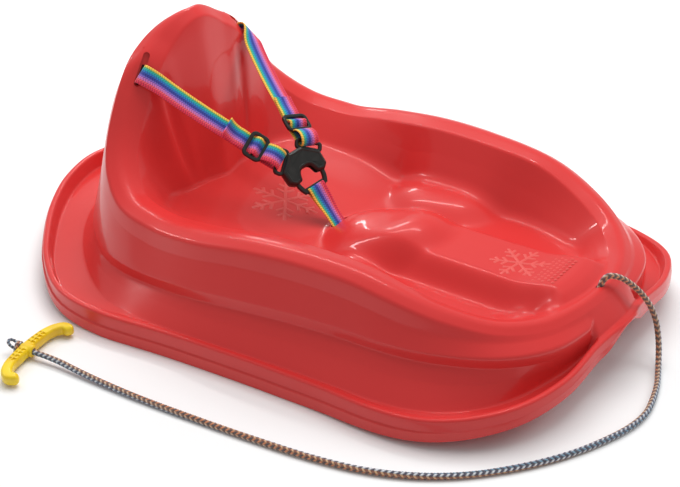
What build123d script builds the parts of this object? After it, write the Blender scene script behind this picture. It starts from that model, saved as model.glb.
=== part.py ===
"""Child's seat sled with a back rest, a three-point belt and a tow rope.

Frame: +X forward (nose), +Y left, +Z up, millimetres, origin on the ground
under the middle of the hull.  One file per piece is written to parts/.

The hull is a single moulded shell.  Its form is a lines plan: a handful of
stations around the hull, each giving how far out and how high the skirt, lip,
tray, wall, ledge and rim are.  A section is drawn at many places between the
stations with a rounded corner at each bend, the sections are laid into one
spline surface, and the surface is thickened inwards, mirrored and closed.
"""
from build123d import *
import math
import os

os.makedirs("parts", exist_ok=True)

# ---------------------------------------------------------------- dimensions
LENGTH = 800.0          # lip to lip, nose to tail
WIDTH = 580.0           # over the lip at its widest; every station moves out with it
BACK_H = 293.0          # rim of the back rest above the ground
WALL = 2.4              # moulded wall
LIP_W = 8.0             # width of the upstanding lip round tray and pockets
CORNER = 4.0            # outside corner of lip and skirt
NOTCH_HALF = 44.0       # half width of the notch in the skirt under the nose
NOTCH_KEEP = 0.2        # part of the skirt left at its middle
RAMP_HALF = 44.0        # half width of the ramp from rim to lip at the nose
WEB = 25.0              # belt webbing
WEB_T = 1.6
SLOT = (WEB + 7.0, 8.0)  # belt slot in the hull
SLOT_SPARE = 12.0       # further length of a shoulder slot, above the belt
BAR = 3.5               # frame of adjusters and strap bars round the webbing
PIN_D = 5.0             # rods that stop the belts behind the slots
ROPE_D = 6.5
ROPE_ROOM = 1.0         # round the rope in its hole
FIT = 0.3               # clearance between separate pieces

# ------------------------------------------------------- lines plan of the hull
# stations run from the nose (0) round the left side to the tail (1)
S_SIDE, S_TAIL = 0.32, 0.68         # where the fans end and the straight side lies


def station_plane(s):
    """Foot (x on the centre line) and heading of the section at s in 0..1."""
    if s <= S_SIDE:
        return NOSE_C, 90.0 * s / S_SIDE
    if s <= S_TAIL:
        t = (s - S_SIDE) / (S_TAIL - S_SIDE)
        return NOSE_C + t * (TAIL_C - NOSE_C), 90.0
    return TAIL_C, 90.0 + 90.0 * (s - S_TAIL) / (1.0 - S_TAIL)


def spread(values):
    """Radii of a hull 580 wide, moved out or in to suit the width."""
    return [v + (WIDTH - 580.0) / 2 for v in values]


# s of the stations: nose fan every 15..30 degrees, sides, tail fan
ST = [0.0, 0.06, 0.12, 0.17, 0.23, 0.32, 0.41, 0.50, 0.59, 0.68, 0.74, 0.79,
      0.84, 0.90, 0.95, 1.0]
LIP_R = spread([210, 213, 240, 262, 270, 261, 263, 268, 275, 285, 290, 280,
                271, 272, 281, 290])
LIP_Z = [63, 58, 50, 44, 34, 31, 31, 31, 31, 31, 33, 37, 41, 45, 46, 46]
TRAY_D = [16, 16, 16, 15, 6, 2, 2, 2, 2, 3, 14, 16, 18, 19, 20, 20]
SKIRT_H = [18, 19, 20, 22, 25, 29, 31, 31, 31, 31, 27, 20, 13, 9, 8, 8]
FOOT_R = spread([196, 196, 210, 230, 247, 247, 251, 257, 263, 262, 242, 230,
                 224, 222, 222, 222])
LEDGE_R = spread([192, 199, 212, 216, 214, 214, 222, 232, 236, 229, 222, 214,
                  208, 205, 204, 204])
LEDGE_Z = [72, 73, 74, 75, 76, 78, 79, 77, 70, 62, 60, 59, 58, 58, 58, 58]
RIM_R = spread([184, 187, 193, 196, 197, 200, 206, 214, 220, 211, 205, 191,
                160, 137, 119, 107])
BACK_RISE = [38 / 161, 108 / 161, 140 / 161, 156 / 161, 1]      # from the side's rim
RIM_Z = [91, 90, 90, 95, 109, 131, 137, 135, 126, 120, 132]
RIM_Z += [RIM_Z[-1] + f * (BACK_H - RIM_Z[-1]) for f in BACK_RISE]
INNER_R = spread([164, 164, 166, 167, 164, 163, 166, 172, 177, 172, 166, 151,
                  118, 98, 88, 84])
BACK_LEAN = [0, 0, 0, 0, 0, 0, 0, 0, 0, 0, 4, 12, 18, 24, 26, 28]
NOSE_C = LENGTH / 2 - LIP_R[0]      # centre of the front fan of sections
TAIL_C = LIP_R[-1] - LENGTH / 2     # centre of the rear fan of sections


def along(values, s):
    """Smooth value at s: cubic Hermite through the stations, level at both ends."""
    n = len(ST)
    i = max(k for k in range(n - 1) if s >= ST[k] or k == 0)
    slope = []
    for k in (i, i + 1):
        if k in (0, n - 1):
            slope.append(0.0)
            continue
        a = (values[k] - values[k - 1]) / (ST[k] - ST[k - 1])
        b = (values[k + 1] - values[k]) / (ST[k + 1] - ST[k])
        wa, wb = ST[k + 1] - ST[k], ST[k] - ST[k - 1]
        slope.append((a * wa + b * wb) / (wa + wb))
    h = ST[i + 1] - ST[i]
    t = (s - ST[i]) / h
    return ((2 * t**3 - 3 * t**2 + 1) * values[i] + (t**3 - 2 * t**2 + t) * h * slope[0]
            + (3 * t**2 - 2 * t**3) * values[i + 1] + (t**3 - t**2) * h * slope[1])


def ease(t):
    t = min(1.0, max(0.0, t))
    return t * t * (3 - 2 * t)


def bump(x, y, cx, cy, rx, ry):
    """1 at the centre, falling smoothly to 0 at the edge of an ellipse."""
    q = ((x - cx) / rx) ** 2 + ((y - cy) / ry) ** 2
    return (1 - q) ** 2 * (1 + 2 * q) if q < 1 else 0.0


BEND = 5                # curves laid round each bend of the section
N_BENDS = 13            # bends in a section
N_FLOOR = 10            # curves across the half floor


# ---------------------------------------------------------------- inner floor
SEAT_Z = 58.0           # lowest place, at the crotch slot
SEAT_FALL = 0.125       # the seat falls this much per mm towards the slot
SLOT_X = 17.0


def floor_height(x, y):
    """Height of the moulded floor: seat pan, pommel, tunnel and leg channels."""
    y = abs(y)
    z = SEAT_Z + SEAT_FALL * max(0.0, SLOT_X - x)
    z += 16.0 * ease((y - 70) / 90) * ease((60 - x) / 120)          # dished pan
    z += 30.0 * bump(x, y, 85, 0, 78, 76)                              # pommel
    tunnel = ease((x - 60) / 110)
    z += tunnel * (26.0 * ease((66 - y) / 30) + 4.0)                   # tunnel
    z += 24.0 * bump(x, y, 92, 120, 70, 62)                            # knee rests
    z += 10.0 * ease((x - 270) / 60)
    return z


# ------------------------------------------------------------ section of hull
def section(s):
    """Corner list (r, z, rounding) of the section at s, skirt to inner foot."""
    lip_r, lip_z = along(LIP_R, s), along(LIP_Z, s)
    tray = lip_z - along(TRAY_D, s)
    foot, led_r, led_z = along(FOOT_R, s), along(LEDGE_R, s), along(LEDGE_Z, s)
    rim_r, rim_z, in_r = along(RIM_R, s), along(RIM_Z, s), along(INNER_R, s)
    lean = along(BACK_LEAN, s)
    nose_y = abs(200.0 * math.sin(math.radians(station_plane(s)[1]))) if s < S_SIDE else 200.0
    notch = NOTCH_KEEP + (1 - NOTCH_KEEP) * ease((nose_y - 4.0) / (NOTCH_HALF - 4.0))
    skirt_z = max(0.0, lip_z - along(SKIRT_H, s) * notch)
    edge = lip_r - LIP_W
    tray_r = max(edge - 4.0, foot + 2.0)
    under_rim = max(rim_z - 24.0 - 0.1 * max(0.0, rim_z - 130), led_z + 0.45 * (rim_z - led_z))
    toe_z = floor_here(s, 1.0)
    toe_r = inner_toe(s)
    waist_r, waist_z = led_r + 0.32 * (foot - led_r), tray + 0.42 * (led_z - tray)
    low_r, low_z = led_r - 1.0, led_z - 13.0
    ramp = 1.0 - ease((nose_y - RAMP_HALF) / 14.0)
    if ramp > 0:
        top_r, top_z = rim_r, rim_z - 5.0

        def on_ramp(f, r, z):
            return (r + ramp * (edge + f * (top_r - edge) - r),
                    z + ramp * (lip_z + f * (top_z - lip_z) - z))
        tray_r, tray = on_ramp(0.12, tray_r, tray)
        foot, foot_z = on_ramp(0.26, foot, tray + 1.0)
        waist_r, waist_z = on_ramp(0.42, waist_r, waist_z)
        low_r, low_z = on_ramp(0.55, low_r, low_z)
        led_r, led_z = on_ramp(0.68, led_r, led_z)
        under_r, under_rim = on_ramp(0.84, rim_r + 0.25 * (led_r - rim_r), under_rim)
    else:
        foot_z, under_r = tray + 1.0, rim_r + 0.25 * (led_r - rim_r)
    return [
        (lip_r + 1.5, skirt_z, 0.0),
        (lip_r, lip_z, CORNER),
        (edge, lip_z, CORNER - 0.5),
        (tray_r, tray, 3.0),
        (foot, foot_z, 5.0),
        (waist_r, waist_z, 22.0),
        (low_r, low_z, 4.0),
        (led_r, led_z, 5.0),
        (under_r, under_rim, 14.0),
        (rim_r, rim_z - 5.0, 7.0),
        (0.5 * (rim_r + in_r) + 2.0, rim_z + 3.0, 26.0),
        (in_r, rim_z - 3.0 - 0.2 * lean, 6.0),
        (in_r - 0.45 * (in_r - toe_r), toe_z + 0.5 * (rim_z - toe_z), 30.0),
        (toe_r, toe_z, 24.0),
        (0.8 * toe_r, floor_here(s, 0.8), 0.0),
    ]


TOE_IN = [24, 24, 25, 27, 30, 30, 32, 34, 36, 38, 38, 38, 36, 34, 34, 34]


def inner_toe(s):
    return along(INNER_R, s) - along(TOE_IN, s)


def floor_here(s, f):
    cx, a = station_plane(s)
    r = inner_toe(s) * f
    return floor_height(cx + r * math.cos(math.radians(a)), r * math.sin(math.radians(a)))


def rounded(corners, per_corner=BEND):
    """Polyline through (r, z) corners with an arc-like blend at each corner."""
    pts = [corners[0][:2]]
    for (x0, z0, _), (x1, z1, rad), (x2, z2, _) in zip(corners, corners[1:], corners[2:]):
        ax, az, bx, bz = x0 - x1, z0 - z1, x2 - x1, z2 - z1
        la, lb = math.hypot(ax, az), math.hypot(bx, bz)
        turn = math.pi - math.acos(max(-1, min(1, (ax * bx + az * bz) / (la * lb))))
        cut = min(rad * math.tan(turn / 2), 0.42 * la, 0.42 * lb)
        p0 = (x1 + ax / la * cut, z1 + az / la * cut)
        p2 = (x1 + bx / lb * cut, z1 + bz / lb * cut)
        for k in range(per_corner):
            t = k / (per_corner - 1)
            w = math.cos(turn / 2)
            b0, b1, b2 = (1 - t) ** 2, 2 * w * t * (1 - t), t**2
            n = b0 + b1 + b2
            pts.append(((b0 * p0[0] + b1 * x1 + b2 * p2[0]) / n,
                        (b0 * p0[1] + b1 * z1 + b2 * p2[1]) / n))
    return pts


FLOOR_IN = (140.0, -80.0)   # inner ends of the first and last section
# sections round the half hull, closer together at the nose
SECTIONS = ([0.0, 0.010, 0.020, 0.030, 0.038, 0.045, 0.052, 0.060, 0.072, 0.088]
            + [0.105 + 0.025 * k for k in range(35)] + [0.98, 1.0])


def inside(corners, t):
    """The corner list moved t into the wall, with the roundings to suit."""
    out = []
    for k, (r, z, rad) in enumerate(corners):
        d = []
        for a, b in ((k - 1, k), (k, k + 1)):
            if 0 <= a and b < len(corners):
                dr, dz = corners[b][0] - corners[a][0], corners[b][1] - corners[a][1]
                d.append((dr / math.hypot(dr, dz), dz / math.hypot(dr, dz)))
        if k == 0:
            out.append((r - t, z, 0.0))
        elif k == len(corners) - 1:
            out.append((r, z - t, 0.0))
        else:
            (ar, az), (br, bz) = d
            scale = t / (1 + ar * br + az * bz)
            convex = ar * bz - az * br > 0
            out.append((r - (az + bz) * scale, z + (ar + br) * scale,
                        max(1.0, rad - t) if convex else rad + t))
    return out


def hull_row(s, t=0.0):
    """3-D points of one section at depth t in the wall, skirt to centre line."""
    cx, a = station_plane(s)
    ca, sa = math.cos(math.radians(a)), math.sin(math.radians(a))
    corners = inside(section(s), t) if t else section(s)
    row = [Vector(cx + r * ca, r * sa, z) for r, z in rounded(corners)]
    r = 0.8 * inner_toe(s)
    x0, y0 = cx + r * ca, r * sa
    fan = 0.5 + 0.5 * math.sin(math.pi * (s - 0.5))
    ex = FLOOR_IN[0] + (FLOOR_IN[1] - FLOOR_IN[0]) * fan
    for k in range(N_FLOOR):
        f = k / (N_FLOOR - 1)
        x, y = x0 + (ex - x0) * f, y0 * (1 - f)
        row.append(Vector(x, y, floor_height(x, y) - t))
    return row


# ==== solids
def skin(grid):
    """Faces of one skin: a loft round each bend, a ruled strip along each flat."""
    m = len(grid[0])
    loops = [Edge.make_spline([row[j] for row in grid], parameters=SECTIONS) for j in range(m)]
    faces, j = [], 0
    bends = [1 + BEND * k for k in range(N_BENDS)]
    while j < m - 1:
        if j in bends:
            last = j + BEND - 1
        elif j >= bends[-1] + BEND - 1:
            last = min(j + 3, m - 1)
        else:
            last = j + 1
        if last == j + 1:
            faces.append(Face.make_surface_from_curves(loops[j], loops[last]))
        else:
            faces += Shell.make_loft([Wire([e]) for e in loops[j:last + 1]]).faces()
        j = last
    return faces, loops[0]


def make_hull():
    top, top_foot = skin([hull_row(s) for s in SECTIONS])
    under, under_foot = skin([hull_row(s, WALL) for s in SECTIONS])
    half = top + under + [Face.make_surface_from_curves(top_foot, under_foot)]
    hull = Solid(Shell(half + [f.mirror(Plane.XZ) for f in half]))
    for side in (1, -1):
        hull -= slot_frame(side).location * Pos(SLOT_SPARE / 2, 0, 0) * Box(
            SLOT[0] + SLOT_SPARE, SLOT[1], 24)
    hull -= Pos(*CROTCH_P) * Box(SLOT[1] + 3, SLOT[0], 30)
    return hull - Pos(*ROPE_HOLE) * Cylinder(ROPE_D / 2 + ROPE_ROOM, 30)


# ---------------------------------------------------------------- the belt
SLOT_S = 0.838                      # station of a shoulder slot in the back rest
SLOT_R = spread([137.0])[0]         # and its distance out from the fan's centre
SLOT_RISE = (0.55, 0.83)            # its heading: inwards and up
BUCKLE_P = Vector(-41, 0, 126)      # middle of the buckle
CROTCH_P = Vector(SLOT_X, 0, SEAT_Z + 1)    # where the crotch belt passes the seat
BAR_TURN = 39.0                     # each strap bar faces this far outwards
BAR_BACK, BAR_SIDE = 17.9, 23.7     # strap bars from the buckle's middle
GLIDE_AT = 0.83                     # adjuster, as a part of the shoulder run
GLIDE = (WEB + 9.0, 24.0, 3.0)      # adjuster across, along, thick
CROTCH_TAIL = WALL - 0.9            # crotch belt below the middle of its slot
SHOULDER_TAIL = WALL + 7.3          # shoulder belt behind its slot
PIN_L = SLOT[0] + 10.0              # rod behind a slot
RELEASE = 18.0                      # travel of the plug out of the socket


def band_point(s, r):
    """Point on the crown of the rim at station s, r out from the fan's centre."""
    cx, a = station_plane(s)
    a = math.radians(a)
    span = along(RIM_R, s) - along(INNER_R, s)
    rise = 3.0 - 5.0 * abs(r - along(INNER_R, s) - span / 2) / span
    return Vector(cx + r * math.cos(a), r * math.sin(a), along(RIM_Z, s) + rise - 1.0)


def slot_frame(side):
    """Frame on the band at a shoulder slot: x up along the slot, z straight out."""
    p = band_point(SLOT_S, SLOT_R)
    along_band = band_point(SLOT_S + 0.01, SLOT_R) - band_point(SLOT_S - 0.01, SLOT_R)
    across = band_point(SLOT_S, SLOT_R + 5) - band_point(SLOT_S, SLOT_R - 5)
    out = across.cross(along_band)
    out = out if out.Z > 0 else -out
    return Plane((p.X, side * p.Y, p.Z), x_dir=(0, -side * SLOT_RISE[0], SLOT_RISE[1]),
                 z_dir=(out.X, side * out.Y, out.Z))


def strap_solid(points, width, thick):
    """Flat webbing along (u, n) points: a closed spline strip, extruded."""
    left, right = [], []
    for k, (u, n) in enumerate(points):
        a, b = points[max(k - 1, 0)], points[min(k + 1, len(points) - 1)]
        d = math.hypot(b[0] - a[0], b[1] - a[1])
        nu, nn = -(b[1] - a[1]) / d, (b[0] - a[0]) / d
        left.append((u + nu * thick / 2, n + nn * thick / 2))
        right.append((u - nu * thick / 2, n - nn * thick / 2))
    edges = [Edge.make_spline([Vector(*p) for p in left]),
             Edge.make_line(Vector(*left[-1]), Vector(*right[-1])),
             Edge.make_spline([Vector(*p) for p in reversed(right)]),
             Edge.make_line(Vector(*right[0]), Vector(*left[0]))]
    return extrude(Face(Wire(edges)), width / 2, both=True)


# the buckle's x runs down the crotch belt, so the belt and plug are in one line
BUCKLE_AT = Plane(BUCKLE_P, x_dir=CROTCH_P - BUCKLE_P,
                  z_dir=(BUCKLE_P.Z - CROTCH_P.Z, 0, CROTCH_P.X - BUCKLE_P.X))


def bar_point(side):
    return BUCKLE_AT.from_local_coords(Vector(-BAR_BACK, side * BAR_SIDE, 0))


def belt_plane(side):
    """u runs from the slot to the buckle bar, the plane's normal is the width."""
    slot = slot_frame(side)
    run = bar_point(side) - slot.origin
    across = slot.x_dir if slot.x_dir.Z > 0 else -slot.x_dir
    across = (across - run.normalized() * across.dot(run.normalized())).normalized()
    return Plane(slot.origin, x_dir=run, z_dir=across), run.length


def shoulder_belt(side):
    """From the rod behind the slot, over the band, through the adjuster."""
    plane, run = belt_plane(side)
    out = plane.to_local_coords(slot_frame(side).origin + slot_frame(side).z_dir)
    away = out.Y / abs(out.Y)
    g = GLIDE_AT * run
    lift = (GLIDE[2] + WEB_T) / 2 + FIT
    dive = [(-d * out.X, -d * abs(out.Y)) for d in (SHOULDER_TAIL, 5, 0)]
    lie = [(4, 4.4), (11, 6.2), (20, 6), (45, 3), (g - 24, 0), (g - 13, -lift), (g, -lift),
           (g + 13, -lift), (run - 5.0, 0)]
    pts = [(u, away * v) for u, v in dive + lie]
    return plane.location * strap_solid(pts, WEB, WEB_T)


def adjuster(side):
    plane, run = belt_plane(side)
    w, l, t = GLIDE
    frame = fillet(Box(l, t, w).edges().filter_by(Axis.Y), 4.0)
    windows = [Pos(dx, 0, 0) * Box(l / 2 - 5.0, 2 * t, w - 2 * BAR)
               for dx in (-l / 4 + 0.6, l / 4 - 0.6)]
    return plane.location * Pos(GLIDE_AT * run, 0, 0) * (frame - windows)


def shoulder_rod(side):
    """Rod across the back of a slot, in the loop at the belt's end."""
    depth = SHOULDER_TAIL + PIN_D / 2 + FIT
    return slot_frame(side).location * Pos(SLOT_SPARE / 2, 0, -depth) * Rot(0, 90, 0) * Cylinder(
        PIN_D / 2, PIN_L + SLOT_SPARE)


def crotch_belt():
    """Straight from the plug down through the seat slot."""
    a = BUCKLE_AT.from_local_coords(Vector(34.5, 0, 0))
    length = (CROTCH_P - a).length + CROTCH_TAIL
    return BUCKLE_AT.location * Pos(34.5 + length / 2, 0, 0) * Box(length, WEB, WEB_T)


def crotch_rod():
    reach = (CROTCH_P - BUCKLE_P).length + CROTCH_TAIL + PIN_D / 2 + FIT
    return BUCKLE_AT.location * Pos(reach, 0, 0) * Rot(90, 0, 0) * Cylinder(PIN_D / 2, PIN_L)


def buckle_socket():
    """Faceted socket with a notched open front; a strap bar along each rear side."""
    outline = Polyline((-20, -8), (-3, -29), (12, -28), (18, -21), (18, 21), (12, 28), (-3, 29),
                       (-20, 8), close=True)
    body = extrude(make_face(outline), 6.0, both=True)
    body = chamfer(body.faces().sort_by(Axis.Z)[-1].edges(), 2.5)
    body -= Pos(7, 0, 0) * Box(26, 34, 5.6)
    body -= Pos(18, 0, 0) * Cylinder(9, 14)
    for side in (1, -1):
        bar = Pos(-BAR_BACK, side * BAR_SIDE, 0) * Rot(0, 0, -side * BAR_TURN)
        body += bar * Pos(3.9, 0, 0) * Box(11, WEB + 6, 4) - bar * Pos(4, 0, 0) * Box(4.4, WEB + 1, 6)
    return BUCKLE_AT.location * body


def buckle_prongs():
    """Plug that slides into the socket: crossbar with strap slot, two prongs."""
    prongs = (Pos(29, 0, 0) * Box(9, WEB + 6, 5)
              - Pos(31, 0, 0) * Box(WEB_T + 1.8, WEB + 1.5, 8))
    for side in (1, -1):
        prong = Polyline((26, 8), (26, 15), (10, 16), (-3, 13), (-3, 7), (3, 7), (10, 11),
                         (20, 9.5), close=True)
        prongs += extrude(mirror(make_face(prong), Plane.XZ) if side < 0 else make_face(prong),
                          2.4, both=True)
    return BUCKLE_AT.location * prongs


# ---------------------------------------------------------------- tow rope
ROPE_HOLE = (LENGTH / 2 - 38.5, 0.0, RIM_Z[0] - 1.0)     # in the crown of the rim
HANDLE_P = Vector(-150, -362, 8.5)
HANDLE_TURN = 11.5                  # the grip lies this far round from square
ROPE = [(361, -0.6, 76), (361.8, 0.2, 104), (377, 17, 102), (397, 38, 76), (412, 45, 50),
        (422, 40, 22), (433, 18, 3.6), (450, -24, 3.4), (461, -86, 3.5), (434, -160, 3.3),
        (398, -220, 3.6), (346, -277, 3.3), (284, -314, 3.5), (216, -332, 3.3),
        (141, -342, 3.5), (67, -350, 3.3), (-7, -356, 3.6), (-74, -358, 4.5),
        (-128, -357.6, 8.0), (-172, -366.4, 9.0)]


def rope_radii(points):
    """Each bend's radius: 0.45 of the shorter run over tan of half the turn."""
    out = []
    for a, b, c in zip(points, points[1:], points[2:]):
        p, q = Vector(*b) - Vector(*a), Vector(*c) - Vector(*b)
        turn = math.radians(p.get_angle(q))
        out.append(0.45 * min(p.length, q.length) / math.tan(turn / 2))
    return out


def tow_rope():
    radii = rope_radii(ROPE)
    print("rope radii", [round(r, 1) for r in radii])
    route = FilletPolyline(*ROPE, radius=radii)
    section = Plane(route @ 0, z_dir=route % 0) * Circle(ROPE_D / 2)
    rope = sweep(section, path=route)
    print("rope length", round(route.length, 1), "volume ratio",
          round(rope.volume / (route.length * math.pi * ROPE_D**2 / 4), 4))
    return rope


def pull_handle():
    """Moulded T grip, its ends hooked back towards the rope."""
    half, d = 52.0, 12.0
    curve = Spline((17, -half + 3, 0), (7, -half - 2, 0), (-5, -half + 14, 0), (-8, 0, 0),
                   (-5, half - 14, 0), (7, half + 2, 0), (17, half - 3, 0))
    grip = sweep(Plane(curve @ 0, z_dir=curve % 0) * Circle(d / 2), path=curve)
    for end in (curve @ 0, curve @ 1):
        grip += Pos(end.X, end.Y, end.Z) * Sphere(d / 2)
    grip += Pos(-6, 0, 0) * Rot(0, 90, 0) * Cylinder(7.5, 15)
    grip -= Rot(0, 90, 0) * Cylinder(ROPE_D / 2 + 0.6, 80)
    return Pos(*HANDLE_P) * Rot(0, 0, HANDLE_TURN) * grip


def rope_knot(where, heading):
    """Overhand knot drawn tight, as a plain round collar on the rope."""
    ring = revolve(Plane.XZ * Pos(ROPE_D / 2 + FIT + 2.6, 0) * Circle(2.6), Axis.Z)
    return Plane(where, z_dir=heading).location * ring


PIECES = {
    "hull": make_hull,
    "shoulder_belt_left": lambda: shoulder_belt(1),
    "shoulder_belt_right": lambda: shoulder_belt(-1),
    "adjuster_left": lambda: adjuster(1),
    "adjuster_right": lambda: adjuster(-1),
    "shoulder_rod_left": lambda: shoulder_rod(1),
    "shoulder_rod_right": lambda: shoulder_rod(-1),
    "crotch_belt": crotch_belt,
    "crotch_rod": crotch_rod,
    "buckle_socket": buckle_socket,
    "buckle_prongs": buckle_prongs,
    "tow_rope": tow_rope,
    "pull_handle": pull_handle,
    "rope_knot_nose": lambda: rope_knot(Vector(361.2, -0.4, 83), Vector(0.8, 0.8, 28)),
    "rope_knot_handle": lambda: rope_knot(Vector(-168, -365.6, 9), Vector(-44, -8.8, 1)),
}

for name, make in PIECES.items():
    solid = make()
    export_step(solid, f"parts/{name}.step")
    print(name, round(solid.volume), solid.is_valid, len(solid.solids()))
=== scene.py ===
# %% [markdown]
# # A child's seat sled
#
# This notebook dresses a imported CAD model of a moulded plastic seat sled: a red shell
# with a high back rest, a striped three-point belt with a black buckle, and a tow rope
# that lies on the ground and ends in a yellow T grip.  The CAD part holds the sizes, the
# bodies and the joint.  Here each piece gets the surface that the eye expects: smooth
# moulded plastic, woven webbing, knitted cord.

# %% Load the frame
import math

import bmesh
import bpy
import numpy as np
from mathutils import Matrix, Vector


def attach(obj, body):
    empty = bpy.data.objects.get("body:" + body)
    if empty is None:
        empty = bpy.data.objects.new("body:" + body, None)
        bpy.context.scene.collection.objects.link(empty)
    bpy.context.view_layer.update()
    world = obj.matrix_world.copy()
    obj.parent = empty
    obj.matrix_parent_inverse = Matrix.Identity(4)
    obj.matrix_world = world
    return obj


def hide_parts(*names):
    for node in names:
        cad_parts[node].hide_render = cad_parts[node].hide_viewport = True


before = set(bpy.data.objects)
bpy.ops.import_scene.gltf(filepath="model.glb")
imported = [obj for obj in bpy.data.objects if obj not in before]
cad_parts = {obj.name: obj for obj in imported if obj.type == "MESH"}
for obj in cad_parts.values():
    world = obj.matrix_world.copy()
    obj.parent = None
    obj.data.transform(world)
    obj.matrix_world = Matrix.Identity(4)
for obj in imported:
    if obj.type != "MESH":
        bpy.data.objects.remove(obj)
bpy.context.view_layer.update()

MM = 0.001

# %% [markdown]
# ## Camera
#
# The camera comes first.  It stands in front and to the right of the sled and looks down on
# it by nearly thirty degrees.  Giving the aim point, two angles and a distance is easier to
# read than a matrix, and `to_track_quat` turns the line of sight into a rotation.

# %% Camera
AIM = Vector((20, -5.4, 37.4)) * MM
AZIMUTH, ELEVATION = math.radians(35.0), math.radians(29.3)
DISTANCE, LENS = 1.6868, 72.53

back = Vector((math.sin(AZIMUTH) * math.cos(ELEVATION),
               -math.cos(AZIMUTH) * math.cos(ELEVATION), math.sin(ELEVATION)))
camera = bpy.data.objects.new("camera", bpy.data.cameras.new("camera"))
camera.data.lens, camera.data.sensor_width = LENS, 36.0
camera.data.clip_start, camera.data.clip_end = 0.05, 60.0
camera.location = AIM + back * DISTANCE
camera.rotation_mode = "QUATERNION"
camera.rotation_quaternion = back.to_track_quat("Z", "Y")
bpy.context.collection.objects.link(camera)
bpy.context.scene.camera = camera
print("camera", [round(v, 3) for v in camera.location])

# %% [markdown]
# ## From numbers to pieces
#
# Nearly every piece below is a grid of points: one parameter runs along it and the other
# runs across or around it.  `cells` numbers the four corners of each cell of the grid,
# and `mesh_of` puts points and faces into a mesh and turns the faces outwards.  `piece`
# names the body that the mesh rides on and marks edges sharper than a given angle, so
# that broad faces shade smoothly and corners stay crisp.  The rest is what recurs below:
# lengths along a line, angles of a full turn, points round a line, and a Boolean cut.

# %% Grid and mesh helpers
def cells(shape, wrap_u=False, wrap_v=False, first=0):
    """Corner numbers of every cell of a grid, row by row, closing round where asked."""
    n, m = shape[:2]
    i = np.arange(n if wrap_u else n - 1)[:, None]
    j = np.arange(m if wrap_v else m - 1)[None, :]
    far_i, far_j = (i + 1) % n, (j + 1) % m
    quads = np.stack(np.broadcast_arrays(i * m + j, i * m + far_j, far_i * m + far_j,
                                         far_i * m + j), -1)
    return first + quads.reshape(-1, 4)


def closed_tube(grid, first=0):
    """Faces of a tube whose rows are closed rings: its side and two end caps."""
    n, m = grid.shape[:2]
    ends = [first + np.arange(m)[::-1], first + (n - 1) * m + np.arange(m)]
    return cells(grid.shape, wrap_v=True, first=first).tolist() + [e.tolist() for e in ends]


def closed_ring(grid, first=0):
    """Faces of a tube that bites its own tail."""
    return cells(grid.shape, True, True, first).tolist()


def mesh_of(name, grids, faces=closed_tube, outward=True):
    """One mesh from several grids in millimetres, its faces turned outwards.  `faces`
    is one way to join a grid's points, or a list with a way for each grid."""
    points, polygons = [], []
    ways = faces if isinstance(faces, list) else [faces] * len(grids)
    for grid, way in zip(grids, ways):
        polygons += way(grid, sum(len(p) for p in points))
        points.append(np.asarray(grid, float).reshape(-1, 3))
    mesh = bpy.data.meshes.new(name)
    mesh.from_pydata((np.concatenate(points) * MM).tolist(), [], polygons)
    if outward:
        work = bmesh.new()
        work.from_mesh(mesh)
        bmesh.ops.recalc_face_normals(work, faces=work.faces)
        work.to_mesh(mesh)
        work.free()
    return mesh


def open_sheet(grid, first=0):
    """Faces of a plain sheet."""
    return cells(grid.shape, first=first).tolist()


def linked(name, data):
    """A new object that shows some data."""
    obj = bpy.data.objects.new(name, data)
    bpy.context.collection.objects.link(obj)
    return obj


def piece(mesh, material, body, crease=40.0):
    """The mesh as an object that rides on a body, smooth but for its creases."""
    mesh.shade_smooth()
    mesh.set_sharp_from_angle(angle=math.radians(crease))
    mesh.materials.clear()
    mesh.materials.append(material)
    obj = linked(mesh.name, mesh)
    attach(obj, body)
    print(f"{mesh.name}: {len(mesh.vertices)} points, {len(mesh.polygons)} faces on {body}")
    return obj


def applied(obj):
    """The mesh that an object's modifiers make, as a new mesh of its own."""
    graph = bpy.context.evaluated_depsgraph_get()
    return bpy.data.meshes.new_from_object(obj.evaluated_get(graph))


def bored(name, mesh, tool_mesh, own=False):
    """The mesh less the tool, as a new mesh; own lets the mesh's parts cross each other."""
    block, tool = linked(mesh.name, mesh), linked(tool_mesh.name, tool_mesh)
    cut = block.modifiers.new("bore", "BOOLEAN")
    cut.operation, cut.solver, cut.object, cut.use_self = "DIFFERENCE", "EXACT", tool, own
    result = applied(block)
    result.name = name
    for obj in (block, tool):
        bpy.data.objects.remove(obj)
    return result


def distances(line):
    """How far along the line each of its points is."""
    return np.concatenate([[0], np.linalg.norm(np.diff(line, axis=0), axis=1).cumsum()])


def turns_of(count):
    """Angles of a full turn in equal steps."""
    return np.linspace(0, 2 * math.pi, count, endpoint=False)


def spun(line, side, upright, a, b):
    """line + a * side + b * upright, for every a and b at every point of the line."""
    return line[:, None] + a[..., None] * side[:, None] + b[..., None] * upright[:, None]


# %% [markdown]
# ## Shader sums in plain Python
#
# A procedural material is mostly arithmetic on coordinates.  Wiring Math nodes by hand
# hides that arithmetic, so a small class wraps a socket and adds the Math node whenever
# two values are added, multiplied or compared.  `Finish.node` is the only other way that
# a node is made: it sets the node's own settings first and its sockets after.

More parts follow.
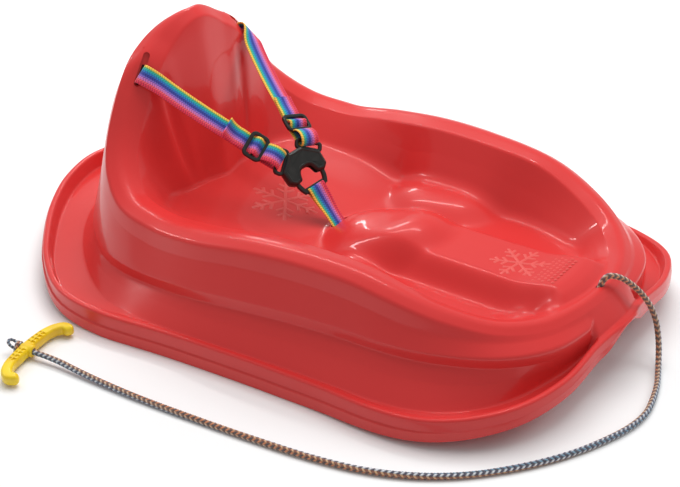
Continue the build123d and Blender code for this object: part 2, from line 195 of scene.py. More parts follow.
# %% Materials as expressions
class Value:
    """A socket that can be used in sums; each operation adds one Math node."""

    def __init__(self, finish, socket):
        self.finish, self.socket = finish, socket

    def math(self, operation, *others, clamp=False):
        made = self.finish.node("ShaderNodeMath", {"operation": operation, "use_clamp": clamp},
                                {k: v for k, v in enumerate((self,) + others)})
        return Value(self.finish, made.outputs[0])

    def __add__(self, other): return self.math("ADD", other)
    def __mul__(self, other): return self.math("MULTIPLY", other)
    def __sub__(self, other): return self.math("SUBTRACT", other)
    def __truediv__(self, other): return self.math("DIVIDE", other)
    def __rsub__(self, other): return (self * -1.0) + other
    __radd__, __rmul__ = __add__, __mul__

    def sin(self): return self.math("SINE")
    def abs(self): return self.math("ABSOLUTE")

    def between(self, low, high):
        """0 below low, 1 above high, and a smooth rise between them."""
        made = self.finish.node("ShaderNodeMapRange", {"interpolation_type": "SMOOTHSTEP"},
                                {"Value": self, "From Min": low, "From Max": high})
        return Value(self.finish, made.outputs[0])


class Finish:
    """A material under construction: its node tree and its main shader."""

    def __init__(self, name, color, roughness, **constants):
        self.material = bpy.data.materials.new(name)
        self.material.use_nodes = True
        self.tree = self.material.node_tree
        self.shader = next(n for n in self.tree.nodes if n.type == "BSDF_PRINCIPLED")
        self.material.diffuse_color = (*color, 1.0)
        self.set(**{"Base Color": (*color, 1.0), "Roughness": roughness}, **constants)
        self.place = self.node("ShaderNodeTexCoord").outputs["Object"]

    def node(self, kind, settings={}, sockets={}):
        made = self.tree.nodes.new(kind)
        for key, value in settings.items():
            setattr(made, key, value)
        for key, value in sockets.items():
            self.plug(made.inputs[key], value)
        return made

    def plug(self, socket, value):
        value = getattr(value, "socket", value)
        if isinstance(value, bpy.types.NodeSocket):
            self.tree.links.new(value, socket)
        else:
            socket.default_value = value

    def set(self, **sockets):
        for key, value in sockets.items():
            self.plug(self.shader.inputs[key.replace("_", " ")], value)

    def noise(self, scale, detail=2.0, roughness=0.5, vector=None):
        made = self.node("ShaderNodeTexNoise", {}, {
            "Vector": vector or self.place, "Scale": scale, "Detail": detail,
            "Roughness": roughness})
        return Value(self, made.outputs[0])

    def axes(self, vector):
        made = self.node("ShaderNodeSeparateXYZ", {}, {0: vector})
        return [Value(self, made.outputs[k]) for k in range(3)]

    def blend(self, factor, a, b):
        """Colour a where factor is 0 and colour b where it is 1."""
        made = self.node("ShaderNodeMix", {"data_type": "RGBA"},
                         {0: factor, 6: self.rgba(a), 7: self.rgba(b)})
        return made.outputs[2]

    @staticmethod
    def rgba(color):
        return (*color, 1.0) if isinstance(color, tuple) and len(color) == 3 else color

    def bump(self, height, distance, strength=1.0):
        made = self.node("ShaderNodeBump", {}, {
            "Height": height, "Distance": distance, "Strength": strength})
        self.plug(self.shader.inputs["Normal"], made.outputs[0])


def srgb(*levels):
    """Linear colour from screen levels: the usual sRGB curve."""
    return tuple(((v / 255 + 0.055) / 1.055) ** 2.4 if v > 10 else v / 3294.6 for v in levels)


print("finish classes ready")

# %% [markdown]
# ## The tow rope's line
#
# A limp rope on the ground draws one smooth line.  The spline below has the CAD route's
# corners as its control points, so it leaves the hole in the nose, passes over the lip,
# drops to the ground and runs back beside the sled.  Blender evaluates the spline, and
# the points that it gives are spaced evenly along the line by interpolation.

# %% Route of the rope
ROPE_D = 6.5
ROUTE = [(361, -0.6, 76), (361.8, 0.2, 104), (377, 17, 102), (397, 38, 76), (412, 45, 50),
         (422, 40, 22), (433, 18, 3.6), (450, -24, 3.4), (461, -86, 3.5), (434, -160, 3.3),
         (398, -220, 3.6), (346, -277, 3.3), (284, -314, 3.5), (216, -332, 3.3),
         (141, -342, 3.5), (67, -350, 3.3), (-7, -356, 3.6), (-74, -358, 4.5),
         (-128, -357.6, 8.0), (-172, -366.4, 9.0)]


def smooth_line(name, points, step):
    """Points every `step` millimetres along the NURBS spline of some control points."""
    curve = bpy.data.curves.new(name, "CURVE")
    curve.dimensions, curve.resolution_u = "3D", 40
    spline = curve.splines.new("NURBS")
    spline.points.add(len(points) - 1)
    for point, place in zip(spline.points, points):
        point.co = (*(v * MM for v in place), 1.0)
    spline.order_u, spline.use_endpoint_u = 3, True
    holder = linked(name, curve)
    mesh = applied(holder)
    line = np.array([v.co for v in mesh.vertices]) / MM
    bpy.data.objects.remove(holder)
    bpy.data.meshes.remove(mesh)
    along = distances(line)
    even = np.linspace(0, along[-1], int(along[-1] / step) + 1)
    return np.stack([np.interp(even, along, line[:, k]) for k in range(3)], -1), along[-1]


rope_line, rope_length = smooth_line("route", ROUTE, 0.7)
print("rope line", len(rope_line), "points,", round(rope_length, 1), "mm")

# %% [markdown]
# ## Knitted cord
#
# The rope is a cheap knitted cord: six columns of slanting stitches, three in warm
# orange and cream, three in navy, steel blue and white.  A texture could draw this, but
# the stitches are as tall as a real bump, so they are modelled.  The radius is a function
# of the distance along and the angle round: each column bulges in its middle, each stitch
# bulges in its own middle, and neighbouring columns lean opposite ways, which gives the
# chevrons.  The colour is painted darker where the surface sinks, as painted shade in the
# hollows between stitches and columns.  The two square directions are carried along the line
# without twist, and then turned slowly, so that now the warm and now the cool side is on top.

# %% Knitted cord surface
YARNS = np.array([      # one row for each column: its light and its dark stitch
    [srgb(226, 190, 156), srgb(112, 56, 38)], [srgb(222, 130, 76), srgb(58, 40, 50)],
    [srgb(228, 176, 128), srgb(140, 66, 36)], [srgb(232, 236, 242), srgb(30, 38, 80)],
    [srgb(104, 150, 180), srgb(26, 34, 70)], [srgb(214, 222, 232), srgb(36, 58, 100)]])
COLUMNS = 6
STITCH = 3.2            # length of one stitch
ROUND = 6 * COLUMNS     # points round the cord


def unit(v):
    return v / np.linalg.norm(v, axis=-1, keepdims=True)


def square_frames(line, first_side, closed=False):
    """Tangent, side and upright along a line; the side turns no more than the line does."""
    tangent = unit(np.roll(line, -1, 0) - np.roll(line, 1, 0) if closed
                   else np.gradient(line, axis=0))
    side, sides = np.array(first_side, float), []
    for t in tangent:
        side = unit(side - t * (side @ t))
        sides.append(side)
    sides = np.array(sides)
    return tangent, sides, np.cross(tangent, sides)


def knitted(line, diameter, turns, first_side=(0, 1, 0), first_turn=0.0):
    """A tube of knitting round a line; its radius is less where a column or a stitch ends.

    across and along run from -1 to 1 over a column and over a stitch; the swell is
    sqrt(1 - 0.8 across^2) times (1 - 0.75 |along|^3).  The colour is the yarn's, times a
    painted shade that is darkest where the swell is least.
    """
    _, side, upright = square_frames(line, first_side)
    u = distances(line)[:, None]
    column = COLUMNS * np.arange(ROUND)[None, :] / ROUND + 0.1
    across = 2 * (column % 1) - 1
    lean = np.where(column.astype(int) % 2, 1, -1)
    stitch = u / (STITCH * diameter / ROPE_D) + 0.42 * lean * across
    along = 2 * (stitch % 1) - 1
    swell = np.sqrt(1 - 0.8 * across**2) * (1 - 0.75 * np.abs(along) ** 3)
    radius = diameter / 2 * (0.7 + 0.37 * swell)
    angle = 2 * math.pi * (column / COLUMNS + first_turn + turns * u / u[-1])
    grid = spun(line, side, upright, radius * np.cos(angle), radius * np.sin(angle))
    yarn = YARNS[column.astype(int) % COLUMNS, np.floor(stitch).astype(int) % 2]
    # painted shade: the yarn's colour is darkened in the hollows between stitches and columns
    shade = (0.2 + 0.8 * (swell - swell.min()) / np.ptp(swell))[..., None]
    return grid, yarn * shade


def cord_mesh(name, parts):
    """A mesh of knitted cords, each point coloured by its yarn and by its painted shade."""
    mesh = mesh_of(name, [grid for grid, _ in parts])
    tint = mesh.color_attributes.new("yarn", "FLOAT_COLOR", "POINT")
    colors = np.concatenate([c.reshape(-1, 3) for _, c in parts])
    tint.data.foreach_set("color", np.c_[colors, np.ones(len(colors))].ravel())
    return mesh


cord_finish = Finish("knitted_cord", srgb(190, 140, 110), 0.75, Sheen_Weight=0.25,
                     Sheen_Roughness=0.5)
# the yarn attribute holds each yarn's colour times its painted shade
yarn = cord_finish.node("ShaderNodeAttribute", {"attribute_name": "yarn"}).outputs["Color"]
fibre = cord_finish.noise(2600.0, 3.0, 0.7)
cord_finish.set(Base_Color=cord_finish.blend(fibre.between(0.35, 0.75) * 0.35, yarn,
                                             srgb(214, 204, 196)))
cord_finish.bump(fibre, 0.0003, 0.7)

rope = piece(cord_mesh("tow_rope_braid", [knitted(rope_line, ROPE_D, 1.35, first_turn=0.3)]),
             cord_finish.material, "sled", crease=180)
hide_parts("tow_rope")

# %% [markdown]
# ## Knots
#
# A knot keeps the rope's end from slipping back through the hole, and another does so
# behind the grip, where the tail also leaves a small loop.  The line of an overhand knot
# is a trefoil: it goes twice round a ring while it rises and falls three times.  The
# same knitted surface is carried along it.

# %% Knots and the loop behind the grip
def trefoil(center, axis, ring, wave, rise, tilt=0.0):
    """((ring + wave cos 3t) cos 2t, (ring + wave cos 3t) sin 2t, rise sin 3t), turned."""
    t = np.linspace(0, 2 * math.pi, 120)
    reach = ring + wave * np.cos(3 * t)
    z = unit(np.array(axis, float))
    x = unit(np.cross(z, (0.3, 0.2, 0.9)) + 1e-9)
    y = np.cross(z, x)
    local = np.stack([reach * np.cos(2 * t + tilt), reach * np.sin(2 * t + tilt),
                      rise * np.sin(3 * t)], -1)
    return np.array(center) + local @ np.stack([x, y, z])


KNOT = 4.9, 1.2, 1.0     # ring, wave and rise of both knots
NOSE_KNOT, NOSE_HEADING = (361.2, -0.4, 83.0), (0.8, 0.8, 28.0)
GRIP_KNOT, GRIP_HEADING = (-168.0, -365.6, 9.0), (-44.0, -8.8, 1.0)
nose_knot = piece(cord_mesh("knot_under_nose", [
    knitted(trefoil(NOSE_KNOT, NOSE_HEADING, *KNOT), 4.2, 1, (0, 0, 1))]),
    cord_finish.material, "sled", crease=180)
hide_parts("rope_knot_nose")

# %% [markdown]
# ## Floor and light
#
# The floor is plain and nearly white, so it keeps the soft shadow but adds no colour of
# its own.  A pale world lights every side a little, and the camera sees it as plain white.
# Three wide lamps give soft light and stay out of the gloss.  Three narrow ones are seen
# in it, as the thin bright lines that moulded plastic shows along its edges.

# %% Floor, world and lamps
floor_finish = Finish("studio_floor", (0.9, 0.9, 0.9), 0.95)
FLOOR, SINK = 9.0, 0.0004       # half width of the floor, and how far it lies under zero
AMBIENT = 0.42                  # strength of the world, except where the camera sees it
floor = linked("floor", mesh_of("floor", [np.array([
    [(-FLOOR, -FLOOR, -SINK), (-FLOOR, FLOOR, -SINK)],
    [(FLOOR, -FLOOR, -SINK), (FLOOR, FLOOR, -SINK)]]) / MM], lambda g, k: cells(
        g.shape, first=k)[:, ::-1].tolist(), outward=False))
floor.data.materials.append(floor_finish.material)

world = bpy.data.worlds.new("studio")
world.use_nodes = True
bpy.context.scene.world = world
sky = world.node_tree.nodes["Background"]
sky.inputs["Color"].default_value = (1.0, 1.0, 1.0, 1.0)
direct = world.node_tree.nodes.new("ShaderNodeLightPath").outputs["Is Camera Ray"]
lift = world.node_tree.nodes.new("ShaderNodeMath")
lift.operation, lift.inputs[1].default_value = "MULTIPLY_ADD", 1 - AMBIENT
lift.inputs[2].default_value = AMBIENT
world.node_tree.links.new(direct, lift.inputs[0])
world.node_tree.links.new(lift.outputs[0], sky.inputs["Strength"])

LAMPS = {   # name: place, aim, width, height, power, seen in the gloss
    "sky_box": ((-0.25, 0.8, 2.6), (-0.1, 0.05, 0.0), 2.6, 2.2, 57.0, False),
    "left_box": ((-1.7, -1.0, 1.3), (-0.05, 0.0, 0.1), 0.9, 0.9, 2.0, False),
    "strip": ((-0.85, 0.75, 1.7), (-0.85, 0.0, 0.15), 1.7, 0.05, 7.5, True),
    "window": ((-1.5, -0.25, 1.3), (-0.1, 0.0, 0.1), 0.07, 0.42, 3.2, True),
    "far_window": ((-1.35, 1.3, 0.98), (-0.3, -0.1, 0.03), 0.42, 0.09, 2.6, True),
    "front_box": ((1.2, 1.2, 1.1), (-0.3, 0.0, 0.2), 0.8, 0.8, 8.0, False)}
for name, (place, aim, width, height, power, gloss) in LAMPS.items():
    lamp = bpy.data.lights.new(name, "AREA")
    lamp.shape, lamp.size, lamp.size_y, lamp.energy = "RECTANGLE", width, height, power
    holder = linked(name, lamp)
    holder.location, holder.visible_glossy = place, gloss
    holder.rotation_euler = (Vector(place) - Vector(aim)).to_track_quat("Z", "Y").to_euler()
bpy.context.scene.view_settings.view_transform = "Standard"
print("lamps", list(LAMPS))

# %% [markdown]
# ## Lines of the hull
#
# A boat is drawn by its lines: at a few stations round the hull somebody says how far
# out and how high the lip, the wall and the rim are, and smooth curves run through those
# marks.  The same is done here, with the CAD part's own stations.  `s` goes from 0 at the
# nose round the left side to 1 at the tail; the right side is a mirror image.  Between
# stations each line is a cubic Hermite curve.

# %% Lines plan
LENGTH, WALL = 800.0, 2.4
STATION = np.array([0, .06, .12, .17, .23, .32, .41, .50, .59, .68, .74, .79, .84, .90,
                    .95, 1.0])
LINES = {name: np.array(values, float) for name, values in {
    "lip_r": (210, 213, 240, 262, 270, 261, 263, 268, 275, 285, 290, 280, 271, 272, 281, 290),
    "lip_z": (63, 58, 50, 44, 34, 31, 31, 31, 31, 31, 33, 37, 41, 45, 46, 46),
    "tray": (16, 16, 16, 15, 6, 2, 2, 2, 2, 3, 14, 16, 18, 19, 20, 20),
    "skirt": (18, 19, 20, 22, 25, 29, 31, 31, 31, 31, 27, 20, 13, 9, 8, 8),
    "foot_r": (196, 196, 210, 230, 247, 247, 251, 257, 263, 262, 242, 230, 224, 222, 222, 222),
    "ledge_r": (192, 199, 212, 216, 214, 214, 222, 232, 236, 229, 222, 214, 208, 205, 204, 204),
    "ledge_z": (72, 73, 74, 75, 76, 78, 79, 77, 70, 62, 60, 59, 58, 58, 58, 58),
    "rim_r": (184, 187, 193, 196, 197, 200, 206, 214, 220, 211, 205, 191, 160, 137, 119, 107),
    "rim_z": (91, 90, 90, 95, 109, 131, 137, 135, 126, 120, 132, 170, 240, 272, 288, 293),
    "inner_r": (164, 164, 166, 167, 164, 163, 166, 172, 177, 172, 166, 151, 118, 98, 88, 84),
    "toe_in": (24, 24, 25, 27, 30, 30, 32, 34, 36, 38, 38, 38, 36, 34, 34, 34),
    "lean": (0, 0, 0, 0, 0, 0, 0, 0, 0, 0, 4, 12, 18, 24, 26, 28)}.items()}
NOSE_C, TAIL_C = LENGTH / 2 - LINES["lip_r"][0], LINES["lip_r"][-1] - LENGTH / 2
S_SIDE, S_TAIL = 0.32, 0.68


def hermite(knots, value, s, level_ends=True):
    """Cubic Hermite through marks; each slope is the mean of its two chords, weighted
    by the other's length, and the end slopes are level or those of the end chords."""
    h = np.diff(knots)
    chord = np.diff(value) / h
    slope = np.zeros_like(value)
    slope[1:-1] = (chord[:-1] * h[1:] + chord[1:] * h[:-1]) / (h[:-1] + h[1:])
    if not level_ends:
        slope[0], slope[-1] = chord[0], chord[-1]
    i = np.clip(np.searchsorted(knots, s, side="right") - 1, 0, len(h) - 1)
    t, h = (s - knots[i]) / h[i], h[i]
    return ((2 * t**3 - 3 * t**2 + 1) * value[i] + (t**3 - 2 * t**2 + t) * h * slope[i]
            + (3 * t**2 - 2 * t**3) * value[i + 1] + (t**3 - t**2) * h * slope[i + 1])


def line(name, s):
    return hermite(STATION, LINES[name], np.asarray(s, float))


def ease(t):
    """0 below 0, 1 above 1, and 3t^2 - 2t^3 between."""
    t = np.clip(t, 0, 1)
    return t * t * (3 - 2 * t)


def station_plane(s):
    """Foot on the centre line and heading in radians: a fan of sections at the nose,
    parallel ones along the side, a fan at the tail."""
    s = np.asarray(s, float)
    side = np.clip((s - S_SIDE) / (S_TAIL - S_SIDE), 0, 1)
    heading = (np.clip(s / S_SIDE, 0, 1) + np.clip((s - S_TAIL) / (1 - S_TAIL), 0, 1)) * 90
    return NOSE_C + side * (TAIL_C - NOSE_C), np.radians(heading)


def mound(x, y, cx, cy, rx, ry):
    """(1 - q)^2 (1 + 2q) inside an ellipse, where q is the squared distance."""
    q = np.minimum(((x - cx) / rx) ** 2 + ((y - cy) / ry) ** 2, 1)
    return (1 - q) ** 2 * (1 + 2 * q)


def floor_height(x, y):
    """Seat pan that falls to the crotch slot, pommel, leg tunnel and knee rests."""
    y = np.abs(y)
    z = 58.0 + 0.125 * np.maximum(0.0, 17.0 - x)
    z = z + 16.0 * ease((y - 70) / 90) * ease((60 - x) / 120)
    z = z + 28.0 * mound(x, y, 88, 0, 88, 80) + 21.0 * mound(x, y, 92, 132, 86, 78)
    z = z + ease((x - 60) / 110) * (26.0 * ease((66 - y) / 30) + 4.0)
    return z + 10.0 * ease((x - 270) / 60)


print("hull runs from", LENGTH / 2 - LENGTH, "to", LENGTH / 2)

# %% [markdown]
# ## One section, bend by bend
#
# Cut the hull anywhere and the cut shows the same bends: stepped skirt, lip, tray, foot
# of the wall, waist, ledge, rim, inner wall, floor.  At the nose the pockets of the tray
# give way to a plain ramp from rim to lip, and the skirt has a notch there.  Each bend is
# a small arc, written as a rational quadratic curve, so the whole section is one smooth
# line with as many points as the bends need and few on the flats.

# %% Section of the hull
LIP_W, CORNER = 8.0, 4.0
NOTCH_HALF, NOTCH_KEEP, RAMP_HALF = 44.0, 0.2, 44.0
BEND_POINTS = 6
FLAT_POINTS = (2, 1, 2, 1, 1, 2, 2, 4, 1, 3, 2, 2, 2, 5, 5, 4)
BEND_R = np.array([0.8, 0.8, CORNER - 1, CORNER - 1, 3, 5, 22, 4, 5, 14, 7, 26, 6, 30, 24])
STEP_LOW, STEP_HIGH, STEP_IN = 0.42, 0.48, 2.0  # step in the skirt, as shares of its height


def section(s):
    """Corners (r, z) of the section at every s: array [s, corner, 2]."""
    centre, heading = station_plane(s)
    g = {name: line(name, s) for name in LINES}
    nose_y = np.where(s < S_SIDE, np.abs(200 * np.sin(heading)), 200)
    notch = NOTCH_KEEP + (1 - NOTCH_KEEP) * ease((nose_y - 4) / (NOTCH_HALF - 4))
    skirt_z = np.maximum(0, g["lip_z"] - g["skirt"] * notch)
    tray_z = g["lip_z"] - g["tray"]
    edge, rim_r, rim_z = g["lip_r"] - LIP_W, g["rim_r"], g["rim_z"]
    tray_r = np.maximum(edge - 4, g["foot_r"] + 2)
    under_z = np.maximum(rim_z - 24 - 0.1 * np.maximum(0, rim_z - 130),
                         g["ledge_z"] + 0.45 * (rim_z - g["ledge_z"]))
    toe_r = g["inner_r"] - g["toe_in"]

    def on_floor(share):
        r = toe_r * share
        return r, floor_height(centre + r * np.cos(heading), r * np.sin(heading))

    ramp = 1 - ease((nose_y - RAMP_HALF) / 14)

    def ramped(share, r, z):
        """The point r, z drawn to a straight ramp, share of the way from lip to rim."""
        return (r + ramp * (edge + share * (rim_r - edge) - r),
                z + ramp * (g["lip_z"] + share * (rim_z - 5 - g["lip_z"]) - z))

    waist = (g["ledge_r"] + 0.32 * (g["foot_r"] - g["ledge_r"]),
             tray_z + 0.42 * (g["ledge_z"] - tray_z))
    low = g["ledge_r"] - 1, g["ledge_z"] - 13
    tray = ramped(0.12, tray_r, tray_z)
    foot = ramped(0.26, g["foot_r"], tray[1] + 1)
    ledge = ramped(0.68, g["ledge_r"], g["ledge_z"])
    under = ramped(0.84, rim_r + 0.25 * (ledge[0] - rim_r), under_z)
    toe = on_floor(1.0)
    tall = g["lip_z"] - skirt_z
    step = STEP_IN * ease((s - 0.2) / 0.08)
    corners = [(g["lip_r"] + 1.5, skirt_z), (g["lip_r"] + 1.5, skirt_z + STEP_LOW * tall),
               (g["lip_r"] + 1.5 - step, skirt_z + STEP_HIGH * tall),
               (g["lip_r"] - 0.5, g["lip_z"]), (edge, g["lip_z"]),
               tray, foot, ramped(0.42, *waist), ramped(0.55, *low), ledge, under,
               (rim_r, rim_z - 5), (0.5 * (rim_r + g["inner_r"]) + 2, rim_z + 3),
               (g["inner_r"], rim_z - 3 - 0.2 * g["lean"]),
               (g["inner_r"] - 0.45 * (g["inner_r"] - toe_r), toe[1] + 0.5 * (rim_z - toe[1])),
               toe, on_floor(0.8)]
    return np.stack([np.stack(c, -1) for c in corners], 1)


def rounded(corners, radii, steps, flats):
    """A line through the corners with an arc at each: ((1-t)^2 a + 2wt(1-t) b + t^2 c)
    over the same weights added up, w the cosine of half the turn."""
    mid = corners[:, 1:-1]
    a, b = corners[:, :-2] - mid, corners[:, 2:] - mid
    la, lb = (np.linalg.norm(v, axis=-1, keepdims=True) for v in (a, b))
    turn = math.pi - np.arccos(np.clip((a * b).sum(-1, keepdims=True) / (la * lb), -1, 1))
    cut = np.minimum(np.minimum(radii[None, :, None] * np.tan(turn / 2), 0.42 * la), 0.42 * lb)
    start, end = (mid + a / la * cut)[:, :, None], (mid + b / lb * cut)[:, :, None]
    t = np.linspace(0, 1, steps)[None, None, :, None]
    w = np.cos(turn / 2)[:, :, None]
    arcs = (((1 - t) ** 2 * start + 2 * w * t * (1 - t) * mid[:, :, None] + t**2 * end)
            / ((1 - t) ** 2 + 2 * w * t * (1 - t) + t**2))
    rows, last = [corners[:, :1]], corners[:, 0]
    for k, count in enumerate(flats):
        goal = arcs[:, k, 0] if k < arcs.shape[1] else corners[:, -1]
        f = (np.arange(count) + 1)[None, :, None] / (count + 1)
        rows.append(last[:, None] * (1 - f) + goal[:, None] * f)
        if k < arcs.shape[1]:
            rows.append(arcs[:, k])
            last = arcs[:, k, -1]
    return np.concatenate(rows + [corners[:, -1:]], 1)


S = np.concatenate([np.linspace(0, 0.10, 34), np.linspace(0.10, 0.80, 74)[1:],
                    np.linspace(0.80, 0.872, 25)[1:], np.linspace(0.872, 1.0, 20)[1:]])
profile = rounded(section(S), BEND_R, BEND_POINTS, FLAT_POINTS)
print("sections", len(S), "points in each", profile.shape[1])

# %% [markdown]
# ## Belt slots
#
# The shoulder belts leave through a slot in the crown of the back rest.  The slot's own
# frame is needed for the cut, for the flat that is pressed round it and for the belt that
# starts there.  It comes from the same lines as the hull, so they all stay together.

# %% Frame of a shoulder slot
SLOT_S, SLOT_R, SLOT_RISE = 0.838, 137.0, (0.55, 0.83)
SLOT_LONG, SLOT_WIDE, SLOT_SPARE = 32.0, 8.0, 12.0
CROTCH_WIDE, HOLE, CUT_DEEP = 11, 8.5, 30
FACET_LONG, FACET_WIDE, FACET_LOW = 33, 13.5, 2.4   # half sizes of the flat, and its depth
CROTCH = np.array([17.0, 0.0, 59.0])
ROPE_HOLE = np.array([361.5, 0.0, 90.0])


def on_band(s, r):
    """Point on the crown of the rim, r out from the centre of the fan of sections."""
    centre, heading = station_plane(s)
    inner, outer = line("inner_r", s), line("rim_r", s)
    rise = 3 - 5 * abs(r - (inner + outer) / 2) / (outer - inner)
    return np.array([centre + r * math.cos(heading), r * math.sin(heading),
                     line("rim_z", s) + rise - 1])


def slot_frame(side):
    """Middle of the slot, and its directions: up along it, across it, and straight out."""
    middle = on_band(SLOT_S, SLOT_R)
    out = np.cross(on_band(SLOT_S, SLOT_R + 5) - on_band(SLOT_S, SLOT_R - 5),
                   on_band(SLOT_S + 0.01, SLOT_R) - on_band(SLOT_S - 0.01, SLOT_R))
    out = unit(out * np.sign(out[2])) * (1, side, 1)
    up = np.array([0, -side * SLOT_RISE[0], SLOT_RISE[1]])
    up = unit(up - out * (up @ out))
    return middle * (1, side, 1), np.stack([up, np.cross(out, up), out])


slot_middle, slot_axes = slot_frame(-1)
print("right slot at", slot_middle.round(1), "out", slot_axes[2].round(2))

# %% [markdown]
# ## The hull's surface
#
# Every section becomes a row of points that goes on across the floor to the middle of the
# sled, and the mirror image brings it back up the other side.  The rows form one open
# sheet, its doubles along the middle are merged and its faces are turned upwards.  Only
# then does Solidify give it the moulded wall, and a Boolean cuts the slots and the hole
# for the rope.

# %% Hull points
FLOOR_POINTS = 30
FLOOR_MIDDLE = (140.0, -80.0)
CREASE_S, CREASE_DEEP = 0.852, 6.0     # a soft valley down the back rest from each slot


def hull_half(s, profile):
    """Left half of the hull: points [s, row, 3] from skirt to centre line."""
    centre, heading = station_plane(s)
    r, z = profile[..., 0].copy(), profile[..., 1].copy()
    rim, inner = line("rim_z", s)[:, None], line("inner_r", s)[:, None]
    deep = ease((rim - 14 - z) / 40) * ease((z - 75) / 60) * (r < inner + 1)
    r += CREASE_DEEP * deep * np.exp(-((s[:, None] - CREASE_S) / 0.014) ** 2)
    last = FLAT_POINTS[-1] + 2              # these points lie on the floor itself
    settle = ease((np.arange(last) + 0.5) / (last - 1))
    z[:, -last:] += settle * (floor_height(
        centre[:, None] + r[:, -last:] * np.cos(heading)[:, None],
        r[:, -last:] * np.sin(heading)[:, None]) - z[:, -last:])
    wall = np.stack([centre[:, None] + r * np.cos(heading)[:, None],
                     r * np.sin(heading)[:, None], z], -1)
    foot = wall[:, -1]
    share = 0.5 + 0.5 * np.sin(math.pi * (s - 0.5))
    goal = FLOOR_MIDDLE[0] + (FLOOR_MIDDLE[1] - FLOOR_MIDDLE[0]) * share
    f = np.linspace(0, 1, FLOOR_POINTS + 1)[None, 1:]
    x = foot[:, :1] + (goal[:, None] - foot[:, :1]) * f
    y = foot[:, 1:2] * (1 - f)
    return np.concatenate([wall, np.stack([x, y, floor_height(x, y)], -1)], 1)


def pressed(points, side):
    """The crown near a slot, pressed down to a flat a little below its middle."""
    middle, axes = slot_frame(side)
    a, b, c = np.moveaxis((points - middle) @ axes.T, -1, 0)
    near = (ease((FACET_LONG - np.abs(a - 5)) / 3.5) * ease((FACET_WIDE - np.abs(b)) / 2.5)
            * (np.abs(c) < 12))
    return points - (near * np.maximum(0, c + FACET_LOW))[..., None] * axes[2]


half = hull_half(S, profile)
half = pressed(half, 1)
mirror = half[:, -2::-1] * (1, -1, 1)
hull_grid = np.concatenate([half, mirror], 1)
print("hull grid", hull_grid.shape)

# %% Hull mesh
skin = mesh_of("hull_skin", [hull_grid], open_sheet, False)
work = bmesh.new()
work.from_mesh(skin)
bmesh.ops.remove_doubles(work, verts=work.verts, dist=1e-6)
work.normal_update()
floor_up = sum(f.normal.z for f in work.faces if f.calc_center_median().z > 0.055)
if floor_up < 0:
    bmesh.ops.reverse_faces(work, faces=work.faces)
work.to_mesh(skin)
work.free()
print("skin faces", len(skin.polygons), "turned over" if floor_up < 0 else "kept")


def slot_points(middle, axes, long, wide, deep):
    """A straight slot with round ends, as two rings."""
    t = turns_of(24) + 1e-3
    ring = np.stack([np.sign(np.cos(t)) * (long - wide) / 2 + np.cos(t) * wide / 2,
                     np.sin(t) * wide / 2], -1)
    return np.array([[middle + axes.T @ (*p, h * deep / 2) for p in ring] for h in (-1, 1)])


UPRIGHT = np.eye(3)
cutters = [slot_points(ROPE_HOLE, UPRIGHT, HOLE, HOLE, CUT_DEEP),
           slot_points(CROTCH, np.array([(0, 1, 0), (-1, 0, 0), (0, 0, 1)]), SLOT_LONG,
                       CROTCH_WIDE, CUT_DEEP)]
for side in (1, -1):
    middle, axes = slot_frame(side)
    cutters.append(slot_points(middle + axes[0] * SLOT_SPARE / 2, axes,
                               SLOT_LONG + SLOT_SPARE, SLOT_WIDE, 24))
cutter, draft = linked("cutter", mesh_of("cutter", cutters)), linked("hull_draft", skin)
wall = draft.modifiers.new("wall", "SOLIDIFY")
wall.thickness, wall.offset, wall.use_even_offset = WALL * MM, -1, True
cut = draft.modifiers.new("slots", "BOOLEAN")
cut.operation, cut.solver, cut.object = "DIFFERENCE", "EXACT", cutter
hull_mesh = applied(draft)
hull_mesh.name = "hull_shell"
for old in (draft, cutter):
    bpy.data.objects.remove(old)

# %% [markdown]
# ## Moulded plastic
#
# Soft moulded plastic is red through and through, so colour changes little: a slow drift
# from the moulding, a painted light that makes the skirt paler near the ground, and a
# painted glow, a small share of the colour given off as light, which lifts the shade as the
# light that the thin wall lets through would.  The surface is a little wavy under a clear
# coat, and its gloss is uneven where it has been rubbed, so noise drives the bump and the
# roughness.

# %% Red plastic
PAINTED_GLOW = 0.06             # share of its colour that the wall gives off as a painted glow


def red_plastic():
    """Colour and gloss from noise in Object coordinates; painted light makes it paler towards
    the ground, and a painted glow gives off a share of its colour.
    """
    finish = Finish("red_plastic", srgb(206, 50, 48), 0.2, Specular_IOR_Level=0.28,
                    Coat_Roughness=0.05, Emission_Strength=1.0)
    z = finish.axes(finish.place)[2]
    drift = finish.noise(5.0, 2.0)
    rubbed = finish.noise(38.0, 4.0, 0.6)
    color = finish.blend(drift.between(0.3, 0.7) * 0.5, srgb(208, 52, 50), srgb(202, 47, 47))
    # painted light: the skirt is made paler near the ground
    color = finish.blend(z.between(0.034, 0.0) * 0.3, color, srgb(216, 76, 70))
    # painted glow: the emission gives off a share of the colour and lifts the shade
    finish.set(Base_Color=color, Coat_Weight=0.34,
               Emission_Color=finish.blend(1 - PAINTED_GLOW, color, (0.0, 0.0, 0.0)),
               Roughness=0.33 + rubbed.between(0.35, 0.75) * 0.07)
    finish.bump(finish.noise(11.0, 1.0) + rubbed * 0.03, 0.0012, 0.4)
    return finish.material


red = red_plastic()
hull = piece(hull_mesh, red, "sled", crease=38)
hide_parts("hull")

# %% [markdown]
# ## Moulded ornament
#
# A snowflake stands a little proud of the seat, a smaller one of the floor between the
# feet, and rows of small grip beads lie in front of it.  A snowflake is six arms with two
# pairs of side branches.  Every branch is the same ridge: a grid that runs along the
# branch and across it, laid on the height of the floor and raised in its middle.

